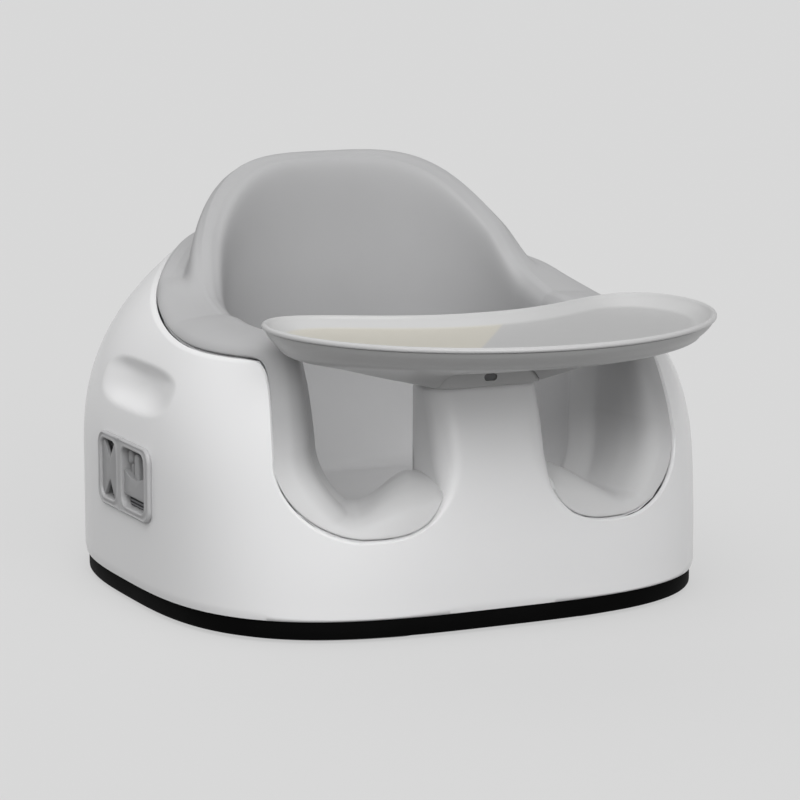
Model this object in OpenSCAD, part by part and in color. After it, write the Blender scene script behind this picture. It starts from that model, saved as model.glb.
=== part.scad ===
// Baby floor seat: a moulded shell with a foam seat insert, two leg openings either side of a
// front post, and a crescent play tray that plugs into the post and lifts straight off.
// Millimetres. The origin is on the floor under the middle of the whole, tray included. +Y
// points to the backrest, +X to the right of someone who faces the seat, +Z up.

/* [Shell] */
// Width of the shell at its widest
shell_width = 380; // [350:1:410]
// From the middle to the front of the shell, at the floor
shell_front = 173; // [165:1:185]
// From the middle to the rear of the shell, at the floor
shell_rear = 182; // [172:1:195]
// Wall of the shell
shell_wall = 3; // [2:0.1:4]
// Height of the shell's lower edge
shell_bottom = 14; // [12:0.5:18]
// Height of the shell's edge beside the sitter's knees
shoulder_height = 170; // [160:1:180]
// How much higher the shell's edge is behind the back
shoulder_rise = 44; // [30:1:50]
// Inward roll of the sides, at 100 mm above where the roll starts
side_roll = 36; // [28:1:40]
// Inward roll of the rear, at 100 mm above where the roll starts
rear_roll = 14; // [8:1:20]
// Radius that the front leans back along
front_lean_radius = 327; // [300:1:420]

/* [Leg openings] */
// Height of the lowest point of a leg opening
leg_bottom = 63; // [58:1:70]
// From the lowest point up to where the flanks of an opening stand upright
leg_depth = 50; // [44:1:56]
// Direction of the middle of an opening, in degrees from straight ahead
leg_angle = 29.5; // [28:0.5:31]
// Half the spread of an opening, in degrees
leg_spread = 17; // [15.5:0.5:17.5]

/* [Post] */
// Width of the post between the legs
post_width = 76; // [70:1:80]
// Height of the top of the post
post_top = 152; // [148:1:156]
// From the middle of the seat to the rear face of the post
post_rear = 116; // [113:1:118]
// Radius of the post's upright corners
post_corner = 16; // [10:1:18]

/* [Carry handle] */
// Length of the hand recess in each side
handle_length = 108; // [90:1:120]
// Height of the hand recess
handle_height = 30; // [26:1:34]
// Depth of the hand recess
handle_depth = 14; // [8:1:18]
// Height of the middle of the hand recess
handle_z = 141; // [136:1:144]

/* [Strap window] */
// Length of the window bezel
window_length = 87; // [82:1:96]
// Height of the window bezel
window_height = 48.5; // [46:0.5:54]
// Height of the middle of the window
window_z = 84; // [80:1:87]
// How far the bezel stands proud of the shell
bezel_proud = 2; // [1.2:0.1:3]
// Depth of the strap pocket behind the bezel
pocket_depth = 18; // [16:1:24]
// Width of the chair strap's webbing
strap_width = 34; // [28:1:35]

/* [Foam insert] */
// Height of the top of the backrest
back_height = 274; // [262:1:286]
// Height of the sitting surface
seat_height = 60; // [56:1:66]
// Thickness of the foam under the sitter
foam_floor = 23; // [18:1:24]
// Half the width between the crests of the arms
crest_half_width = 119; // [114:1:124]
// From the middle to the crest of the backrest
crest_rear = 104; // [98:1:110]
// Height of the arm's crest above the shell's edge
crest_rise = 12; // [8:1:14]

/* [Seat pan and base] */
// Wall of the seat pan
pan_wall = 2.5; // [2:0.1:3.5]
// Thickness of the base plate's floor
plate_thick = 3; // [2:0.1:4]
// Radius of a base screw's shank
screw_r = 1.9; // [1.5:0.1:2.2]
// Thickness of a foot pad
pad_thick = 2.5; // [2:0.1:4]

/* [Tray] */
// Height of the tray's rim
tray_rim_z = 196; // [192:1:204]
// Radius of the line through the middle of the crescent
tray_radius = 113.7; // [108:0.1:120]
// Half the depth of the crescent, front to rear
tray_half_depth = 72; // [66:1:78]
// Half the angle that the crescent spans, in degrees
tray_half_angle = 86; // [80:1:90]
// Depth of the dish below its rim
dish_depth = 7; // [5:0.5:8]
// Thickness of the dish
dish_wall = 2.6; // [2:0.1:3.2]
// Length of the tongue that plugs into the post
tongue_length = 63; // [50:1:70]
// Width of the tongue
tongue_width = 36; // [30:1:42]
// Thickness of the tongue
tongue_thick = 10; // [8:0.5:10.5]

/* [Fits] */
// Clearance all round the tongue in the post
tongue_clear = 0.4; // [0.3:0.05:0.6]
// Clearance between pieces that are only laid together
lay_clear = 0.3; // [0.2:0.05:0.4]
// Travel of the tray's release button
button_travel = 3; // [2:0.1:3.5]

/* [Hidden] */
$fn = 32;

// ---- shell surface: superellipse rings that roll inwards as they rise ----
front_square = 3.2;      // exponent of the front half of a ring
rear_square = 2.8;       // exponent of the rear half
widening = 0.0002;       // the shell is wider to the rear, by this share for each mm
side_roll_start = 82;
rear_roll_start = 117;
front_lean_start = 30;

function clamp01(t) = min(max(t, 0), 1);
function smooth(t) = let(u = clamp01(t)) u * u * (3 - 2 * u);
function mix(a, b, t) = a + (b - a) * t;
function half_width(z) = shell_width / 2 - side_roll * pow(max(z - side_roll_start, 0) / 100, 2.6);
function rear_depth(z) = shell_rear - rear_roll * pow(max(z - rear_roll_start, 0) / 100, 4);
function front_depth(z) = let(h = max(z - front_lean_start, 0))
    shell_front - front_lean_radius + sqrt(front_lean_radius * front_lean_radius - h * h);

// Point of a superellipse at psi degrees from straight ahead
function ellipse_xy(psi, a, front, rear, n_front, n_rear) =
    let(ahead = cos(psi) > 0, n = ahead ? n_front : n_rear, b = ahead ? front : rear,
        r = pow(pow(abs(sin(psi)) / a, n) + pow(abs(cos(psi)) / b, n), -1 / n))
    [r * sin(psi), -r * cos(psi)];
function ring_xy(psi, z, inset) =
    let(p = ellipse_xy(psi, half_width(z) - inset, front_depth(z) - inset,
            rear_depth(z) - inset, front_square, rear_square))
    [p.x * (1 + widening * p.y), p.y];

// Height of the shell's edge: the leg opening's U, its outer flank, then the rising shoulder
leg_in = leg_angle - leg_spread;
leg_out = leg_angle + leg_spread;
flank_top = leg_out + 11.5;
leg_level = leg_bottom + leg_depth;
function edge_z(psi) =
    let(p = abs(psi), u = min(abs(p - leg_angle) / leg_spread, 1), n = p < leg_angle ? 3 : 1.8)
    p <= leg_out ? leg_level - leg_depth * pow(1 - pow(u, n), 1 / n)
    : p < flank_top
        ? shoulder_height - (shoulder_height - leg_level) * pow((flank_top - p) / (flank_top - leg_out), 5)
        : shoulder_height + shoulder_rise * pow(smooth((p - 62) / 92), 1.3);

// Directions of the columns that every moulded form is lofted through, right half then left
half_dirs = concat(
    [for (k = [0:2]) leg_in * k / 3],
    [for (k = [0:12]) leg_angle - leg_spread * cos(15 * k)],
    [for (k = [1:4]) leg_out + (flank_top - leg_out) * k * k / 16],
    [for (k = [1:17]) flank_top + (180 - flank_top) * k / 17]);
dirs = concat(half_dirs, [for (k = [len(half_dirs) - 2:-1:1]) -half_dirs[k]]);

// ---- lofts ----
// Rows of points, each row once round; closed both ways, or with a middle point at each end
function row_faces(rows, cols, last) = [for (r = [0:last - 1], c = [0:cols - 1])
    let(a = r * cols + c, b = r * cols + (c + 1) % cols, d = ((r + 1) % rows) * cols)
    each [[a, d + c, b], [b, d + c, d + (c + 1) % cols]]];
module ring_loft(rows) {
    cols = len(rows[0]);
    polyhedron([for (row = rows) each row], row_faces(len(rows), cols, len(rows)), convexity = 8);
}
module capped_loft(rows, first, last) {
    cols = len(rows[0]);
    count = len(rows) * cols;
    polyhedron(concat([for (row = rows) each row], [first, last]),
        concat(row_faces(len(rows), cols, len(rows) - 1),
            [for (c = [0:cols - 1]) [c, (c + 1) % cols, count]],
            [for (c = [0:cols - 1]) [count - cols + (c + 1) % cols, count - cols + c, count + 1]]),
        convexity = 8);
}
function lift(p, z) = [p.x, p.y, z];
module ring_outline(inset, z) {
    polygon([for (psi = dirs) ring_xy(psi, z, inset)]);
}

// ---- outer shell ----
module shell_skin() {
    hem = 4;
    ring_loft(concat(
        [for (h = [[2.2, 0], [0.8, 1], [0, hem]]) [for (psi = dirs)
            lift(ring_xy(psi, shell_bottom + h[1], h[0]), shell_bottom + h[1])]],
        [for (k = [1:6]) [for (psi = dirs)
            let(z = mix(shell_bottom + hem, edge_z(psi) - 1.2, k / 6)) lift(ring_xy(psi, z, 0), z)]],
        [[for (psi = dirs) lift(ring_xy(psi, edge_z(psi), 1), edge_z(psi))]],
        [[for (psi = dirs) lift(ring_xy(psi, edge_z(psi), shell_wall - 0.8), edge_z(psi))]],
        [for (k = [5:-1:0]) [for (psi = dirs)
            let(z = mix(shell_bottom, edge_z(psi) - 1, k / 5)) lift(ring_xy(psi, z, shell_wall), z)]]));
}

// Upright prism with rounded corners and a round top edge, standing on z = 0
module rounded_block(size, r, edge) {
    hull() {
        for (x = [-1, 1], y = [-1, 1]) translate([x * (size.x / 2 - r), y * (size.y / 2 - r), 0]) {
            cylinder(r = r, h = size.z - edge);
            cylinder(r = r - edge, h = size.z);
        }
    }
}

// The post is as deep as the front of the shell at its top
post_front = front_depth(post_top);
post_foot = leg_bottom - 12;
slot_y = -(post_rear + 9.5 + tongue_thick / 2 + tongue_clear);
module post_body(grow) {
    depth = front_depth(post_foot) - post_rear;
    intersection() {
        translate([0, -post_rear - depth / 2 - 10 + grow / 2, post_foot])
            rounded_block([post_width + 2 * grow, depth + 20 + grow, post_top - post_foot], post_corner, 3);
        capped_loft([for (z = [post_foot, post_foot + 30, post_foot + 60, post_top - 25, post_top - 3])
                [for (psi = dirs) lift(ring_xy(psi, z, 0), z)],
                [for (psi = dirs) lift(ring_xy(psi, post_top, 3), post_top)]],
            [0, 0, post_foot], [0, 0, post_top]);
    }
}

// Side frame: local X runs to the rear, local Y up, local Z straight out of the shell's side
module on_side(right, y, z, lean, proud) {
    turn = 2.2;
    mirror([right ? 0 : 1, 0, 0])
        translate([half_width(z) + proud, y, z])
            rotate([90 - lean, 0, 90 - turn])
                children();
}
module obround(length, height, thick) {
    linear_extrude(thick) hull() {
        for (x = [-1, 1]) translate([x * (length - height) / 2, 0]) circle(d = height);
    }
}
module scoop(grow) {
    floor_share = 0.55;
    hull() {
        translate([0, 0, grow > 0 ? -shell_wall - 1 : -1])
            obround(handle_length + 2 * grow, handle_height + 2 * grow, grow > 0 ? 1 : 12);
        translate([0, 2, -handle_depth - grow])
            obround(handle_length - handle_height * (1 - floor_share) + grow, handle_height * floor_share + grow, 1);
    }
}
module rounded_plate(length, height, r, thick) {
    linear_extrude(thick) hull() {
        for (x = [-1, 1], y = [-1, 1]) translate([x * (length / 2 - r), y * (height / 2 - r)]) circle(r);
    }
}

handle_lean = 21;
window_y = -7.5;
window_r = 13;
frame_edge = 3;          // how much of the bezel laps over the shell
window_hole = [window_length - 2 * frame_edge, window_height - 2 * frame_edge];

boss_r = 5;
boss_top = 42;
boss_dirs = [35, 95, 150];
module at_bosses() {
    for (side = [-1, 1], psi = boss_dirs) {
        p = ring_xy(side * psi, shell_bottom, shell_wall + boss_r + 5.8);
        translate([p.x, p.y, 0]) rotate(atan2(p.y, p.x)) children();
    }
}

plate_z = pad_thick + 3.5;
plate_top = plate_z + plate_thick;
module outer_shell() {
    color("white") difference() {
        union() {
            shell_skin();
            post_body(0);
            for (right = [false, true])
                on_side(right, -3, handle_z, handle_lean, 0) scoop(shell_wall - 0.5);
            at_bosses() {
                translate([0, 0, plate_top]) cylinder(r = boss_r, h = boss_top - plate_top);
                translate([0, -1.2, shell_bottom + 8]) cube([boss_r + 6.8, 2.4, boss_top - shell_bottom - 14]);
            }
        }
        for (right = [false, true]) {
            on_side(right, -3, handle_z, handle_lean, 0) scoop(0);
            on_side(right, window_y, window_z, 0, 0)
                translate([0, 0, -9]) rounded_plate(window_hole.x, window_hole.y, window_r - frame_edge, 14);
        }
        at_bosses() translate([0, 0, plate_top - 1]) cylinder(r = screw_r + 0.1, h = 20);
        post_hollow();
    }
}

// Inside of the post: the tongue's slot, and the catch pocket in front of it
catch_y = -(post_front - 2.8);
catch_width = 16;
catch_depth = button_travel + 5;
slot_bottom = post_top - tongue_length - 5;
module post_hollow() {
    translate([-tongue_width / 2 - tongue_clear, slot_y - tongue_thick / 2 - tongue_clear, slot_bottom])
        cube([tongue_width + 2 * tongue_clear, tongue_thick + 2 * tongue_clear, post_top]);
    translate([-catch_width / 2, catch_y, post_top - 14])
        cube([catch_width, catch_depth, 10.01]);
    translate([-catch_width / 2, catch_y + 1.7, post_top - 4])
        cube([catch_width, catch_depth - 1.7, 10]);
}

// ---- seat pan: the hard bucket that the foam sits in ----
pan_floor_z = seat_height - foam_floor - lay_clear - pan_wall;
pan_gap = 0.5;
pan_floor_half = [shell_width * 0.3105, shell_front * 0.6474, shell_rear * 0.5714];   // across, front, rear
function pan_floor_xy(psi, inset) =
    ellipse_xy(psi, pan_floor_half[0] - inset, pan_floor_half[1] - inset, pan_floor_half[2] - inset, 2.6, 2.6);
// The edge that the pan and the foam follow: level where they pass the post
function seat_edge(psi) = abs(psi) < leg_angle ? min(edge_z(psi), leg_bottom + 21) : edge_z(psi);
function pan_rim_z(psi) = seat_edge(psi) + 0.4;
function pan_rim_xy(psi, inset) = ring_xy(psi, seat_edge(psi), shell_wall + pan_gap + inset);
leg_spots = [[-70, -60], [70, -60], [-70, 60], [70, 60]];
module seat_pan() {
    color("gainsboro") difference() {
        union() {
            capped_loft([
                    [for (psi = dirs) lift(pan_floor_xy(psi, 4), pan_floor_z)],
                    [for (psi = dirs) lift(pan_floor_xy(psi, 0), pan_floor_z + 3)],
                    [for (psi = dirs) lift(pan_rim_xy(psi, 0), pan_rim_z(psi) - 1)],
                    [for (psi = dirs) lift(pan_rim_xy(psi, pan_wall * 0.2), pan_rim_z(psi))],
                    [for (psi = dirs) lift(pan_rim_xy(psi, pan_wall), pan_rim_z(psi))],
                    [for (psi = dirs) lift(pan_floor_xy(psi, pan_wall), pan_floor_z + 3 + pan_wall)],
                    [for (psi = dirs) lift(pan_floor_xy(psi, 4 + pan_wall), pan_floor_z + pan_wall)]],
                [0, 0, pan_floor_z], [0, 0, pan_floor_z + pan_wall]);
            for (p = leg_spots) translate([p.x, p.y, 0]) pan_leg();
        }
        post_clearance(pan_gap);
    }
}
// A tapered leg down to the base plate, with a web along each diagonal
module pan_leg() {
    foot = plate_top + lay_clear;
    hull() {
        translate([0, 0, foot]) cylinder(r = 6, h = 1);
        translate([0, 0, pan_floor_z]) cylinder(r = 8, h = 1);
    }
    for (turn = [45, 135]) rotate(turn) hull() {
        translate([-8, -1.2, foot]) cube([16, 2.4, 1]);
        translate([-18, -1.2, pan_floor_z]) cube([36, 2.4, 1]);
    }
}
// What the seat pan and the foam leave free for the post
module post_clearance(gap) {
    deep = 2 * (shell_front - post_rear);
    translate([0, -post_rear - deep / 2 + gap, -1])
        rounded_block([post_width + 2 * gap, deep, shoulder_height + 20], post_corner, 1);
}

// ---- base ----
sole_inset = 2.2;
module base_plate() {
    color("gainsboro") difference() {
        union() {
            translate([0, 0, plate_z]) linear_extrude(plate_thick) ring_outline(sole_inset + 3.6, shell_bottom);
            translate([0, 0, plate_z]) linear_extrude(14) difference() {
                ring_outline(sole_inset + 3.6, shell_bottom);
                ring_outline(sole_inset + 6, shell_bottom);
            }
            for (x = [-40, 40]) translate([x - 1.2, -125, plate_z]) cube([2.4, 250, 12]);
            for (y = [-30, 30]) translate([-130, y - 1.2, plate_z]) cube([260, 2.4, 12]);
        }
        at_bosses() {
            translate([0, 0, plate_z - 1]) cylinder(r = screw_r + 0.3, h = 20);
            translate([0, 0, plate_z - 1]) cylinder(r = 4, h = 2.4);
        }
    }
}
module base_screws() {
    color("silver") at_bosses() {
        translate([0, 0, plate_z + 1.4 - 1.2]) cylinder(r = 3.5, h = 1.2);
        translate([0, 0, plate_z + 1.4 - 1.2]) cylinder(r = screw_r, h = 16);
    }
}
module grip_ring() {
    color([0.05, 0.05, 0.05]) {
        translate([0, 0, pad_thick]) linear_extrude(plate_z - pad_thick) difference() {
            ring_outline(sole_inset + 0.8, shell_bottom);
            ring_outline(28, shell_bottom);
        }
        translate([0, 0, pad_thick + 1]) linear_extrude(shell_bottom - pad_thick - 1) difference() {
            ring_outline(sole_inset, shell_bottom);
            ring_outline(sole_inset + 3.3, shell_bottom);
        }
    }
}
module foot_pad(x, y) {
    color("gray") linear_extrude(pad_thick) intersection() {
        difference() {
            ring_outline(5, shell_bottom);
            ring_outline(24, shell_bottom);
        }
        hull() for (u = [45, 300], v = [62, 300]) translate([x * u, y * v]) circle(8);
    }
}

// ---- side window: bezel, pocket, folded strap and the two halves of its buckle ----
bezel_back = -4;         // the bezel's spigot ends this far inside the shell's surface
rear_aperture = [27, window_height - 10];
front_aperture = [36, window_height - 10];
aperture_y = 0.4;
rear_x = window_length / 2 - 6 - rear_aperture.x / 2;
front_x = -(window_length / 2 - 9 - front_aperture.x / 2);
module window_bezel(right) {
    color("darkgray") on_side(right, window_y, window_z, 0, 0) difference() {
        union() {
            translate([0, 0, 0.2]) rounded_plate(window_length, window_height, window_r, bezel_proud - 0.2);
            translate([0, 0, bezel_back])
                rounded_plate(window_hole.x - 1, window_hole.y - 1, window_r - frame_edge - 0.5, 5);
        }
        translate([rear_x, aperture_y, bezel_back - 1])
            rounded_plate(rear_aperture.x, rear_aperture.y, 6, 12);
        translate([front_x, aperture_y, bezel_back - 1])
            rounded_plate(front_aperture.x, front_aperture.y, 6, 12);
    }
}
pocket_wall = 2;
pocket_back = bezel_back - pocket_depth;
module strap_pocket(right) {
    color("darkgray") on_side(right, window_y, window_z, 0, 0) difference() {
        translate([0, 0, pocket_back])
            rounded_plate(window_hole.x - 1, window_hole.y - 1, window_r - frame_edge - 0.5, pocket_depth);
        translate([0, 0, pocket_back + pocket_wall])
            rounded_plate(window_hole.x - 1 - 2 * pocket_wall, window_hole.y - 1 - 2 * pocket_wall,
                window_r - frame_edge - 0.5 - pocket_wall, pocket_depth);
        // slit in the rear end that the strap is drawn out through
        translate([window_hole.x / 2 - 6, -strap_width / 2 + 1, pocket_back + pocket_wall + 1])
            cube([10, strap_width - 2, 2.6]);
    }
}
// The webbing lies in flat folds, each turned back on the last
fold_thick = 1.5;
fold_pitch = 1.9;
fold_count = 4;
fold_length = window_hole.x - 22;
strap_floor = pocket_back + pocket_wall + lay_clear;
module chair_strap(right) {
    r = (fold_pitch + fold_thick) / 2;
    color([0.18, 0.18, 0.19]) on_side(right, window_y, window_z, 0, 0)
        translate([0, strap_width / 2, 0]) rotate([90, 0, 0]) linear_extrude(strap_width)
            translate([0, strap_floor]) {
                for (k = [0:fold_count - 1])
                    translate([-fold_length / 2, k * fold_pitch]) square([fold_length, fold_thick]);
                for (k = [0:fold_count - 2])
                    translate([(k % 2 == 0 ? 1 : -1) * fold_length / 2, k * fold_pitch + r])
                        difference() {
                            circle(r);
                            circle(r - fold_thick);
                            translate([k % 2 == 0 ? -10 : 0, -5]) square([10, 10]);
                        }
            }
}
strap_front = strap_floor + (fold_count - 1) * fold_pitch + fold_thick;
buckle_z = strap_front + lay_clear;
buckle_thick = bezel_back - 0.6 - buckle_z;
// Female half: a flat case with a V notch at each end
module buckle_socket(right) {
    h = rear_aperture.y - 3;
    w = rear_aperture.x - 1;
    color("silver") on_side(right, window_y, window_z, 0, 0)
        translate([rear_x, aperture_y, buckle_z]) linear_extrude(buckle_thick + 1.6) difference() {
            rounded_rect(w, h, 5.5);
            for (s = [-1, 1]) polygon([[-w * 0.28, s * (h / 2 + 1)], [w * 0.28, s * (h / 2 + 1)],
                [0, s * h * 0.19]]);
        }
}
// Male half: a body with a crowned edge, a guide tongue and a prong each side
module buckle_plug(right) {
    w = front_aperture.x - 2;
    body_h = 15;
    color("silver") on_side(right, window_y, window_z, 0, 0)
        translate([front_x, aperture_y, buckle_z]) {
            linear_extrude(buckle_thick + 1.6) {
                difference() {
                    translate([-w / 2, -body_h / 2 - 5]) square([w, body_h + 3]);
                    translate([0, 38]) circle(36, $fn = 64);
                    translate([-w / 2 + 4, -body_h / 2 - 2]) square([w - 8, 4]);
                }
            }
            linear_extrude(buckle_thick) {
                translate([-2.5, -1]) square([5, 17]);
                for (s = [-1, 1]) translate([s * (w / 2 - 4) - 2, -1]) square([4, 17]);
                for (s = [-1, 1]) translate([s * (w / 2 - 4), 14.4]) circle(3.4);
            }
        }
}

// ---- foam insert: one cushion with shoulder roll, backrest, arms and thigh lips ----
foam_inset = 2.5;
// Beside the post the foam stays inside the shell's wall, which rises past it there
function foam_side(psi) = seat_edge(psi) < edge_z(psi) ? shell_wall + pan_gap : foam_inset;
function crest_xy(psi) = ellipse_xy(psi, crest_half_width, 132, crest_rear, 3.2, 2.5);
function wall_xy(psi) = ellipse_xy(psi, crest_half_width - 14, 106, crest_rear - 18, 3.4, 2.6);
function floor_xy(psi) = ellipse_xy(psi, crest_half_width - 28, 84, crest_rear - 34, 2.8, 2.4);
// 1 in a leg opening, 0 beside and behind the sitter
function lip_share(psi) = 1 - smooth((abs(psi) - leg_out + 6) / 10);
// 1 where the backrest stands, 0 on the arms
function back_share(psi) = smooth((abs(psi) - 100) / 18);
function arch_z(x) = let(u = min(abs(x) / (crest_half_width + 3), 1))
    mix(shoulder_height + 20, back_height, pow(1 - pow(u, 3.8), 0.87));
// Height of the crest: a saddle in each leg opening, the arms, then the backrest
function crest_z(psi) = let(
        saddle = leg_bottom + mix(34, 15, smooth((abs(psi) - 19) / 15)),
        arm = edge_z(psi) + mix(crest_rise, 3, smooth((abs(psi) - 78) / 24)),
        side = max(mix(arm, saddle, lip_share(psi)), seat_edge(psi) + 9))
    mix(side, max(side, arch_z(crest_xy(psi).x)), back_share(psi));
// 1 on an opening's outer flank, where the foam bulges towards the opening's middle
function roll_share(psi) = smooth((abs(psi) - 30) / 14) * (1 - smooth((abs(psi) - flank_top + 8) / 10));
// Part of the way from the shell's edge to the crest, and of the way up to it
function foam_row(share_in, rise, rise_back, roll = 0) = [for (psi = dirs)
    let(p = ring_xy(psi, seat_edge(psi), foam_side(psi)), q = crest_xy(psi), b = back_share(psi),
        bulge = -sign(psi) * roll * roll_share(psi) * [cos(psi), sin(psi)])
    lift(mix(p, q, is_list(share_in) ? mix(share_in[0], share_in[1], b) : share_in) + bulge,
        mix(seat_edge(psi) + 2.8, crest_z(psi), mix(rise, rise_back, b)))];
// The wall inside the crest: a drop in mm where the crest is high, then a share of the way down
function foam_slope(share_in, drop, down) = [for (psi = dirs) let(deep = crest_z(psi) - seat_height)
    lift(mix(crest_xy(psi), wall_xy(psi), share_in), crest_z(psi) - drop * min(deep / 120, 1) - down * deep)];
// The foam stands off the pan's wall, most beside an opening's flank where the wall twists
function foam_gap(psi) = pan_wall + lay_clear + 4 + 5 * (1 - smooth(abs(abs(psi) - leg_out - 2) / 20));
module foam_insert() {
    base_z = pan_floor_z + pan_wall + lay_clear;
    color("darkgray") difference() {
        capped_loft([
                [for (psi = dirs) lift(pan_floor_xy(psi, 4 + foam_gap(psi)), base_z)],
                [for (psi = dirs) lift(pan_floor_xy(psi, foam_gap(psi)), base_z + 3)],
                [for (psi = dirs) lift(pan_rim_xy(psi, foam_gap(psi)), pan_rim_z(psi) + 0.4)],
                [for (psi = dirs) lift(ring_xy(psi, seat_edge(psi), foam_side(psi) + 1.4), seat_edge(psi) + 1)],
                foam_row(0, 0, 0),
                foam_row(0.10, 0.44, 0.07, 10),
                foam_row(0.30, 0.74, 0.10, 15),
                foam_row(0.55, 0.91, 0.16, 12.5),
                foam_row([0.78, 0.72], 0.98, 0.80, 6.5),
                foam_row(0.89, 1, 0.97, 3),
                foam_slope(0, 0, 0),
                foam_slope(0.4, 2.5, 0),
                foam_slope(0.8, 12, 0),
                foam_slope(1, 0, 0.75),
                [for (psi = dirs) lift(floor_xy(psi), seat_height + 4)],
                [for (psi = dirs) lift(floor_xy(psi) * 0.6, seat_height)]],
            [0, 0, base_z], [0, 0, seat_height]);
        post_clearance(2 * pan_gap + pan_wall * 0.2);
    }
}

// ---- tray ----
tray_y = -92.5;          // centre of the crescent's arcs
tray_cols = 64;
function tray_xy(angle, inset) =
    let(long = tray_radius * tray_half_angle * PI / 180, n = 2,
        t = (1 - inset / long) * cos(angle),
        q = (tray_half_depth - inset) * sin(angle),
        a = t * tray_half_angle, r = tray_radius + q)
    [r * sin(a), tray_y - r * cos(a)];
function tray_row(inset, z) = [for (k = [0:tray_cols - 1]) lift(tray_xy(-360 * k / tray_cols, inset), z)];
dish_top = tray_rim_z - dish_depth;
dish_under = dish_top - dish_wall;
lip_under = tray_rim_z - 4.4;    // underside of the rim's lip, where the funnel meets it
module tray_dish() {
    color("lightgray") difference() {
        union() {
            dish_skin();
            for (p = screw_spots) translate([p.x, p.y, dish_under - dish_boss])
                cylinder(r = 4.5, h = dish_boss + 1);
        }
        for (p = screw_spots) translate([p.x, p.y, dish_under - dish_boss - 1])
            cylinder(r = screw_hole, h = dish_boss);
    }
}
module dish_skin() {
    capped_loft([
            tray_row(44, dish_under),
            tray_row(11, dish_under),
            tray_row(8.2, dish_under + 1.2),
            tray_row(4.4, lip_under),
            tray_row(1, lip_under),
            tray_row(0, tray_rim_z - 2.8),
            tray_row(0.4, tray_rim_z - 0.6),
            tray_row(2, tray_rim_z),
            tray_row(3.6, tray_rim_z - 0.8),
            tray_row(9, dish_top + 3.2),
            tray_row(19, dish_top),
            tray_row(44, dish_top - 0.4)],
        [0, tray_y - tray_radius, dish_under], [0, tray_y - tray_radius, dish_top - 0.4]);
}

// The bracket stands on the post; the funnel is the tray's lower moulding, from bracket to dish
bracket_bottom = post_top + lay_clear;
bracket_tall = 10;
bracket_front = post_front + 4;
bracket_rear = post_rear + 1;
dish_boss = 16;
screw_hole = 1.6;
screw_spots = [[-22, -(post_rear + 32)], [22, -(post_rear + 32)]];
function bracket_xy(angle, out, rear) = let(c = cos(angle), s = sin(angle))
    [(post_width / 2 + out) * sign(c) * sqrt(abs(c)),
        -(bracket_front + rear) / 2 - ((bracket_front - rear) / 2 + out) * sign(s) * sqrt(abs(s))];
// The funnel's lower edge passes over the bracket's front plate
function funnel_low(angle) = bracket_bottom + mix(1, bracket_tall - 1, smooth((sin(angle) - 0.6) / 0.35));
// A bowl: steep under the rim, then flatter down to the bracket, but upright behind the post
function funnel_row(out, share, inset, drop, raise) = [for (k = [0:tray_cols - 1])
    let(a = -360 * k / tray_cols, bowl = mix(min(inset, 4.2), inset, smooth((sin(a) + 0.95) / 0.7)))
    lift(mix(bracket_xy(a, out, bracket_rear), tray_xy(a, bowl - out), share),
        mix(funnel_low(a), lip_under - 0.2, drop) + raise)];
module tray_funnel() {
    wall = 2;
    color("lightgray") ring_loft([
        funnel_row(1, 0, 16, 0, 0),
        funnel_row(2.5, 0, 16, 0, 0),
        funnel_row(2.5, 0.35, 18.5, 0.2, 0),
        funnel_row(2.5, 0.72, 18.5, 0.44, 0),
        funnel_row(2.5, 1, 18.5, 0.61, 0),
        funnel_row(2.5, 1, 11.5, 0.75, 0),
        funnel_row(2.5, 1, 6.5, 0.885, 0),
        funnel_row(2.5, 1, 3.9, 1, 0),
        funnel_row(1, 1, 4.2, 1, 0),
        funnel_row(1, 1, 6.7, 0.885, 0),
        funnel_row(1, 1, 12, 0.75, 1.4),
        funnel_row(1, 1, 18.5, 0.61, wall),
        funnel_row(1, 0.72, 18.5, 0.44, wall),
        funnel_row(1, 0.35, 18.5, 0.2, wall),
        funnel_row(1, 0, 16, 0, wall)]);
}

button_size = [17, 8, 6];        // the button's body, inside the bracket
button_face = [9, 4.6];          // its face, an oval in the bracket's front plate
button_z = bracket_bottom + 2.6;
button_y = -bracket_front + 3.3; // front of the body at rest
spring_room = 11;
module along_y(length) {
    rotate([-90, 0, 0]) linear_extrude(length) children();
}
module tray_bracket() {
    color("lightgray") difference() {
        union() {
            translate([0, 0, bracket_bottom]) linear_extrude(bracket_tall)
                polygon([for (k = [0:tray_cols - 1]) bracket_xy(360 * k / tray_cols, 0, bracket_rear + 8)]);
            translate([-tongue_width / 2, slot_y - tongue_thick / 2, post_top - tongue_length])
                cube([tongue_width, tongue_thick, tongue_length + 2]);
            for (p = screw_spots) translate([p.x, p.y, bracket_bottom + 5])
                cylinder(r = 4.5, h = dish_under - dish_boss - lay_clear - bracket_bottom - 5);
        }
        translate([-button_size.x / 2 - 0.3, button_y - 0.3, button_z - 0.3])
            cube([button_size.x + 0.6, button_size.y + button_travel + 0.6, button_size.z + 0.6]);
        translate([-spring_r - spring_wire - 0.4, button_y, button_z - 0.3])
            cube([2 * (spring_r + spring_wire + 0.4), button_size.y + spring_room + 0.3, button_size.z + 0.6]);
        translate([0, -bracket_front - 1, button_z + button_size.z / 2])
            along_y(8) rounded_rect(button_face.x, button_face.y, button_face.y / 2 - 0.01);
        translate([-catch_width / 2 + 1, catch_y + 1, bracket_bottom - 1])
            cube([catch_width - 2, catch_depth - 1, 4]);
        for (p = screw_spots) translate([p.x, p.y, bracket_bottom - 1]) {
            cylinder(r = screw_hole, h = 30);
            cylinder(r = 3.4, h = 4);
        }
    }
}
module rounded_rect(w, d, r) {
    union() {
        square([w - 2 * r, d], center = true);
        square([w, d - 2 * r], center = true);
        for (x = [-1, 1], y = [-1, 1]) translate([x * (w / 2 - r), y * (d / 2 - r)]) circle(r);
    }
}
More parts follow.
